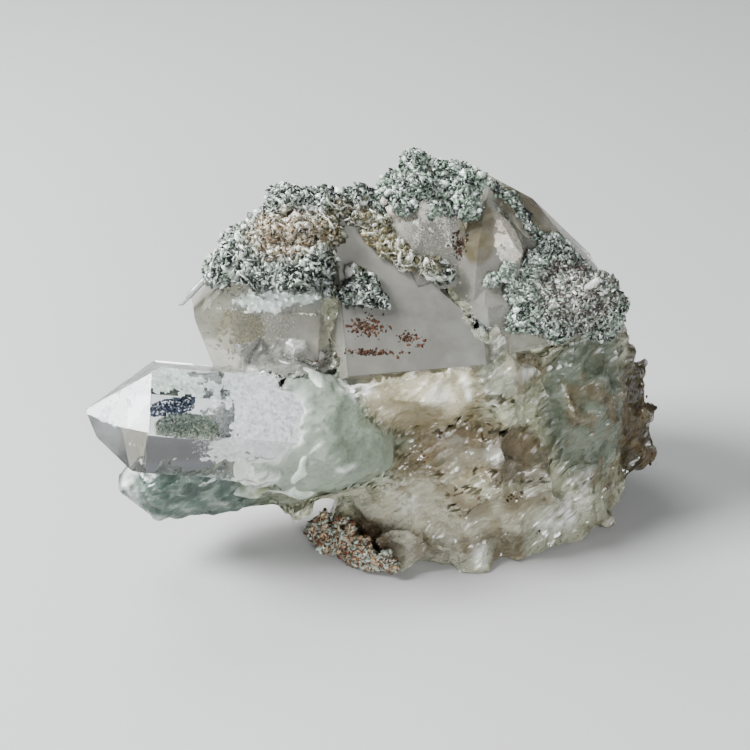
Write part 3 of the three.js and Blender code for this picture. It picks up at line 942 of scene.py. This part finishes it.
def blend_tints(points, rng, plain, stains):
    """A colour for each flake: a random mix of the plain ones, pulled to each stain near it."""
    choice = rng.choice(len(plain), len(points), p=[share for share, _ in plain])
    colour = np.array([tone for _, tone in plain])[choice]
    for at, half, tone, share in stains:
        near = nearness(points, at, half) * share * rng.uniform(0.3, 1, len(points))
        colour += near[:, None] * (np.array(tone) - colour)
    patches = 1 + 0.45 * layered(points, 5, 91)
    return colour * (patches * rng.uniform(0.7, 1.25, len(points)))[:, None]


# The near-white flakes are painted sheen: pale tints that stand for the glints of the mica-like flakes.
DARK, MID, PALE, PAINTED_SHEEN = (0.012, 0.017, 0.014), (0.11, 0.14, 0.11), (0.46, 0.53, 0.45), (0.88, 0.94, 0.90)
BROWN, ORANGE, RUST, PLUM = (0.19, 0.13, 0.07), (0.62, 0.42, 0.25), (0.19, 0.06, 0.015), (0.20, 0.14, 0.13)
MOSS, OLIVE = (0.30, 0.41, 0.31), (0.33, 0.26, 0.12)

# Each crust: how many flakes, their sizes, their plain tints by share, stains by middle, half size, tint and
# strength, and rows of flakes along a ridge

ROW_FLAKES = 130
CRUSTS = {
    "left_crust": dict(
        count=11500, size=(0.6, 1.85), seed=51,
        plain=[(0.30, DARK), (0.22, MID), (0.28, PALE), (0.20, PAINTED_SHEEN)],
        stains=[((-17, 3, 66), (8, 6, 5), ORANGE, 0.6), ((-5, 6, 65), (9, 8, 6), OLIVE, 0.7),
                ((7, 3, 62), (7, 7, 6), OLIVE, 0.6),
                # the two DARK stains are painted shade: along the crust's lower edge and at its overhanging
                # right end
                ((-10, -1, 60), (4, 5, 5), DARK, 0.8), ((-20, -2, 57.5), (14, 4, 2), DARK, 0.5)],
    ),
    "peak_crust": dict(
        count=8500, size=(0.45, 1.4), seed=52,
        plain=[(0.24, DARK), (0.24, MID), (0.22, MOSS), (0.16, PALE), (0.14, PAINTED_SHEEN)], stains=[],
    ),
    "right_crust": dict(
        count=10500, size=(0.45, 1.4), seed=53,
        plain=[(0.22, DARK), (0.24, MID), (0.20, MOSS), (0.20, PALE), (0.14, PAINTED_SHEEN)],
        stains=[((40, 1, 54), (9, 8, 7), PLUM, 0.6), ((36, 8, 62), (6, 5, 5), DARK, 0.8),
                ((27, 0, 57), (6, 5, 5), PALE, 0.4)],
        rows=[((23.8, 19.5, 70.8), (28.3, 17.2, 68.1)), ((28.3, 17.2, 68.1), (31.8, 12.8, 64.2)),
              ((31.8, 12.8, 64.2), (34.8, 8.4, 60.4))],
    ),
    "foot_crust": dict(
        count=6500, size=(0.5, 1.3), seed=54,
        plain=[(0.18, RUST), (0.24, BROWN), (0.20, ORANGE), (0.38, PALE)], stains=[], slot="rust",
    ),
}


def crust(name, count, size, seed, plain, stains, quartz_tree, rows=(), slot="chlorite"):
    """A crust: its lumps, roughened, under a coat of flakes that stand every way."""
    obj = copy_of(name, name + "_flakes")
    remesh(obj, 0.8)
    points = spots_of(obj.data)
    tris = triangles_of(obj.data)
    out = normals_of(obj.data)
    points += out * (0.45 * layered(points, 2.2, seed) - 0.35)[:, None]
    rng = np.random.default_rng(seed)
    at, normal = scatter(points, tris, count, rng)
    keep = []
    for index, (spot, way) in enumerate(zip(place(at), normal)):
        near, facing, _, far = quartz_tree.find_nearest(Vector(spot))
        keep.append(not ((Vector(spot) - near).dot(facing) < 0.0002 and far < 0.01))
    at, normal = at[keep], normal[keep]
    for a, b in rows:
        share = rng.uniform(size=(ROW_FLAKES, 1))
        some = np.array(a) + share * (np.array(b) - np.array(a)) + rng.normal(0, 0.55, (ROW_FLAKES, 3))
        found = [quartz_tree.find_nearest(Vector(spot))[:2] for spot in place(some)]
        at = np.concatenate([at, design([tuple(near) for near, _ in found])])
        normal = np.concatenate([normal, np.array([tuple(way) for _, way in found])])
    lean = unit_rows(normal + 1.5 * rng.normal(size=at.shape))
    sizes = rng.uniform(*size, len(at)) * np.where(rng.uniform(size=len(at)) < 0.12, 1.4, 1)
    at = at + normal * rng.uniform(-0.2, 0.7, len(at))[:, None]
    low, high = design(cad_box)
    at = np.clip(at, low + sizes[:, None] * 0.9, high - sizes[:, None] * 0.9)
    flake_points, flake_tris = plates(at, lean, sizes, 0.07, rng, 6, 1.5)
    tone = np.repeat(blend_tints(at, rng, plain, stains), 8, axis=0)
    # painted shade: the lumps under the flakes are near black, for the shade in the gaps between them
    gap_shade = np.tile(np.array(DARK), (len(points), 1))
    bpy.data.objects.remove(obj)
    return piece(name + "_flakes", [points, flake_points], [tris, flake_tris + len(points)], [gap_shade, tone],
                 flake_material(name + "_flakes", 0.30, 0.5), slot, name)


def unit_rows(vectors):
    return vectors / np.linalg.norm(vectors, axis=1)[:, None]


# What is inside the crystals: healed cracks of tiny plates, and clouds of chlorite

GREENS = [(0.30, (0.12, 0.17, 0.13)), (0.40, (0.32, 0.40, 0.32)), (0.30, (0.62, 0.62, 0.50))]
CHALK = [(1.0, (0.84, 0.86, 0.86))]
SMOKE = [(0.6, (0.55, 0.52, 0.44)), (0.4, (0.75, 0.72, 0.66))]

FACE_UP = (-0.06, 0.79, 0.61)      # up the clear crystal's front face
BLUE = [(1.0, (0.03, 0.05, 0.10))]

# Each veil: its crystal, middle, two directions in its plane, half size, how bent it is, whether it is a full
# disc, how many plates it has, their sizes, tints and seed

VEILS = [
    ("clear", (-35.9, -26.3, 39.4), (0.96, 0.18, -0.20), FACE_UP, (6, 2.9), 0.7, True,
     1500, (0.25, 0.8), GREENS, 61),
    ("clear", (-38.2, -23.3, 42.4), (0.96, 0.25, 0.10), FACE_UP, (6.5, 1.7), 0.5, True,
     1000, (0.2, 0.65), BLUE, 62),
    ("clear", (-27, -20, 37), (0.9, 0.3, -0.2), (0.0, 0.2, 1.0), (7, 7), 2.5, False,
     2600, (0.2, 0.8), CHALK, 63),
    ("clear", (-22, -18, 36), (0.3, 0.9, 0.0), (0.0, 0.0, 1.0), (8, 8), 2.0, False,
     2600, (0.2, 0.9), CHALK, 64),
    ("left", (-22, -1, 49), (1, 0.2, 0), (0, 0.4, 0.9), (10, 9), 3, False, 1800, (0.2, 0.8), SMOKE, 65),
    ("peak", (10, 5, 66), (1, 0.1, 0), (0, 0.3, 0.95), (8, 8), 2, False, 1500, (0.2, 0.7), SMOKE, 66),
    ("flank", (36, 12, 56), (0.8, 0.5, -0.3), (0, 0.3, 0.9), (9, 9), 3, False, 1500, (0.2, 0.8), SMOKE, 67),
]


def inclusions():
    """One piece for all the flakes and veils inside the crystals."""
    verts, tris, tones, start = [], [], [], 0
    for name, at, along, up, (wide, tall), bend, disc, count, size, plain, seed in VEILS:
        rng = np.random.default_rng(seed)
        along = unit(along)
        across = unit(np.cross(along, unit(up)))
        up = np.cross(across, along)
        u, v = rng.normal(0, 0.5, (2, count))
        if disc:
            turn = rng.uniform(0, 2 * math.pi, count)
            u, v = np.sqrt(rng.uniform(size=count)) * np.array([np.cos(turn), np.sin(turn)])
        flat = np.array(at) + np.outer(u * wide, along) + np.outer(v * tall, up)
        flat += np.outer(bend * layered(flat, 7, seed), across)
        patchy = (layered(flat, 3, seed + 5) > -0.15) | disc
        at = flat[patchy & (depth_in(flat, planes_of(CRYSTALS[name], -0.5)) > 0)]
        facing = unit_rows(across + 0.6 * rng.normal(size=at.shape))
        some, faces = plates(at, facing, rng.uniform(*size, len(at)), 0.15, rng, 5)
        pick = rng.choice(len(plain), len(at), p=[share for share, _ in plain])
        verts.append(some)
        tris.append(faces + start)
        tones.append(np.repeat(np.array([tone for _, tone in plain])[pick], 7, axis=0))
        start += len(some)
    return piece("crystal_inclusions", verts, tris, tones, flake_material("inclusions", 0.3, 0.2), "quartz")


# Rust on the grey face, in the gap beside the peak and on the base, and the small crystals and blades

RUSTY = [
    ((-1.5, -5.5, 50.2), (2.0, 0, 1.5), 230), ((6.8, -6.8, 48.2), (1.3, 0, 0.8), 90),
    ((-1, -9, 46.4), (3.2, 0, 0.4), 150), ((16.9, 3.3, 64.0), (0.8, 0.5, 1.5), 130),
    ((9.8, -16.7, 27), (0.5, 0.5, 0.5), 9), ((13.2, -13.8, 29.9), (0.4, 0.4, 0.4), 7),
    ((22.8, -13.3, 32.1), (0.4, 0.4, 0.5), 9), ((20.7, -20.5, 18.9), (0.4, 0.4, 0.4), 7),
    ((27.7, -18.2, 18), (1.5, 0.5, 0.4), 14), ((34, -15.7, 7.2), (0.5, 0.5, 0.4), 7),
    ((-10.8, -11.6, 45), (1.0, 0.6, 0.6), 12), ((56.8, 7.2, 26.9), (1.5, 1.5, 2.5), 40),
    ((59, 4, 15), (1.5, 1.5, 2.5), 30),
]

NEEDLES = [
    ((-34.4, 0, 57.3), (-39.4, -1.4, 52.7), 0.95, (0.62, 0.66, 0.64)),
    ((-33.6, -0.5, 58.6), (-37.6, -1.8, 54.6), 0.7, (0.50, 0.54, 0.51)),
    ((-4.8, 0.6, 56.6), (-5.4, 0.8, 61.0), 1.3, (0.55, 0.54, 0.50)),
    ((-30, -1, 57.5), (-32.4, -3.2, 57.4), 0.6, (0.80, 0.84, 0.82)),
    ((42, -2, 57), (44.5, -2.6, 59.6), 0.7, (0.75, 0.74, 0.70)),
]

BLADES = [
    ((3.6, 6.6, 70.0), (0.1, -0.8, 0.6), 3.2, (0.80, 0.66, 0.58)),
    ((1.8, 8.0, 71.4), (0.4, -0.7, 0.5), 2.0, (0.82, 0.72, 0.66)),
    ((-4.2, -3.2, 56.3), (0.5, -0.8, 0.3), 2.4, (0.86, 0.80, 0.76)),
    ((-1.5, -4.0, 55.8), (-0.4, -0.8, 0.5), 1.6, (0.70, 0.74, 0.74)),
]


def rust_specks(tree):
    rng = np.random.default_rng(71)
    at, facing = [], []
    for middle, spread, count in RUSTY:
        for spot in np.array(middle) + rng.normal(size=(count, 3)) * spread:
            near, way, _, _ = tree.find_nearest(Vector(place(spot)))
            at.append(design(near))
            facing.append(np.array(way))
    at, facing = np.array(at), unit_rows(np.array(facing) + 0.05 * rng.normal(size=(len(at), 3)))
    sizes = 0.15 + 0.75 * rng.uniform(size=len(at)) ** 2
    points, tris = plates(at, facing, sizes, 0.04, rng, 6, 1.2)
    tone = blend_tints(at, rng, [(0.7, (0.075, 0.032, 0.016)), (0.3, (0.04, 0.024, 0.014))],
                       [((16.9, 3.3, 64), (4, 4, 4), DARK, 0.6)])
    return piece("rust_specks", [points], [tris], [np.repeat(tone, 8, axis=0)],
                 flake_material("rust_specks", 0.8, 0.0, 0.15), "rust")


def small_crystals():
    """Needles with six sides and a point at either end, and loose blades, in the left and right crusts."""
    rng = np.random.default_rng(72)
    verts, tris, tones, start = [], [], [], 0
    for foot, tip, radius, tone in NEEDLES:
        foot, tip = np.array(foot, float), np.array(tip, float)
        axis = unit(tip - foot)
        across = unit(np.cross(axis, rng.normal(size=3)))
        other = np.cross(axis, across)
        angle = np.arange(6) * math.pi / 3
        ring = radius * (np.cos(angle)[:, None] * across + 0.6 * np.sin(angle)[:, None] * other)
        top = tip - axis * 1.1 * radius
        step, after = np.arange(6), (np.arange(6) + 1) % 6
        ends = [tip + 0.3 * ring[0], foot - axis * radius]
        verts.append(np.concatenate([foot + ring, top + ring, ends]))
        tris.append(start + np.concatenate([
            np.stack([step, after, after + 6], axis=1), np.stack([step, after + 6, step + 6], axis=1),
            np.stack([step + 6, after + 6, np.full(6, 12)], axis=1),
            np.stack([after, step, np.full(6, 13)], axis=1)]))
        tones.append(np.tile(tone, (14, 1)))
        start += 14
    at, facing, size = (np.array([blade[k] for blade in BLADES], float) for k in range(3))
    some, faces = plates(at, unit_rows(facing), size, 0.12, rng, 7)
    verts.append(some)
    tris.append(faces + start)
    tones.append(np.repeat([blade[3] for blade in BLADES], 9, axis=0))
    material = frosted_quartz("small_crystal", 0.10, 0.45, 0.3)
    return piece("small_crystals", verts, tris, tones, material, "quartz")


# The floor, the lights and the camera

def studio():
    plane = bmesh.new()
    bmesh.ops.create_grid(plane, x_segments=1, y_segments=1, size=4)
    floor = to_object(plane, "floor")
    floor.location.z = -0.0001
    made, tree, main = shader("floor")
    join(tree, main, {"Base Color": (0.45, 0.45, 0.44, 1), "Roughness": 0.8})
    floor.data.materials.append(made)

    middle = Vector(place((0, 5, 36)))
    for name, way, far, wide, tall, power in (
            ("key", (-0.72, -0.10, 0.68), 0.75, 0.32, 0.32, 20.0),
            ("top", (-0.30, 0.50, 0.81), 0.9, 0.5, 0.4, 6.0),
            ("fill", (0.25, -0.9, 0.30), 1.1, 0.3, 0.3, 11.5)):
        light = bpy.data.lights.new(name, "AREA")
        light.shape, light.size, light.size_y, light.energy = "RECTANGLE", wide, tall, power
        light.color = (0.96, 0.98, 1.0)
        lamp = link(bpy.data.objects.new(name, light))
        lamp.location = middle + Vector(way).normalized() * far
        lamp.rotation_mode = "QUATERNION"
        lamp.rotation_quaternion = Vector(way).to_track_quat("Z", "Y")
    world = bpy.context.scene.world or bpy.data.worlds.new("world")
    bpy.context.scene.world = world
    world.use_nodes = True
    sky = world.node_tree
    join(sky, sky.nodes["Background"], {"Color": (0.80, 0.84, 0.9, 1), "Strength": 0.2})

    camera = link(bpy.data.objects.new("camera", bpy.data.cameras.new("camera")))
    slope = math.radians(ELEVATION)
    back = Vector((0, -math.cos(slope), math.sin(slope)))
    camera.location = Vector(place(AIM)) + back * DISTANCE * MM
    camera.rotation_mode = "QUATERNION"
    camera.rotation_quaternion = back.to_track_quat("Z", "Y")
    camera.data.lens = LENS
    camera.data.clip_start, camera.data.clip_end = 0.01, 50
    bpy.context.scene.camera = camera


def tree_of(mesh):
    corners = [tuple(vertex.co) for vertex in mesh.vertices]
    return BVHTree.FromPolygons(corners, [tuple(face.vertices) for face in mesh.polygons])


studio()
base()
heart()
crystals()
quartz_tree = tree_of(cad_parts["quartz"].data)
for crust_name, crust_spec in CRUSTS.items():
    crust(crust_name, quartz_tree=quartz_tree, **crust_spec)
inclusions()
rust_specks(quartz_tree)
small_crystals()
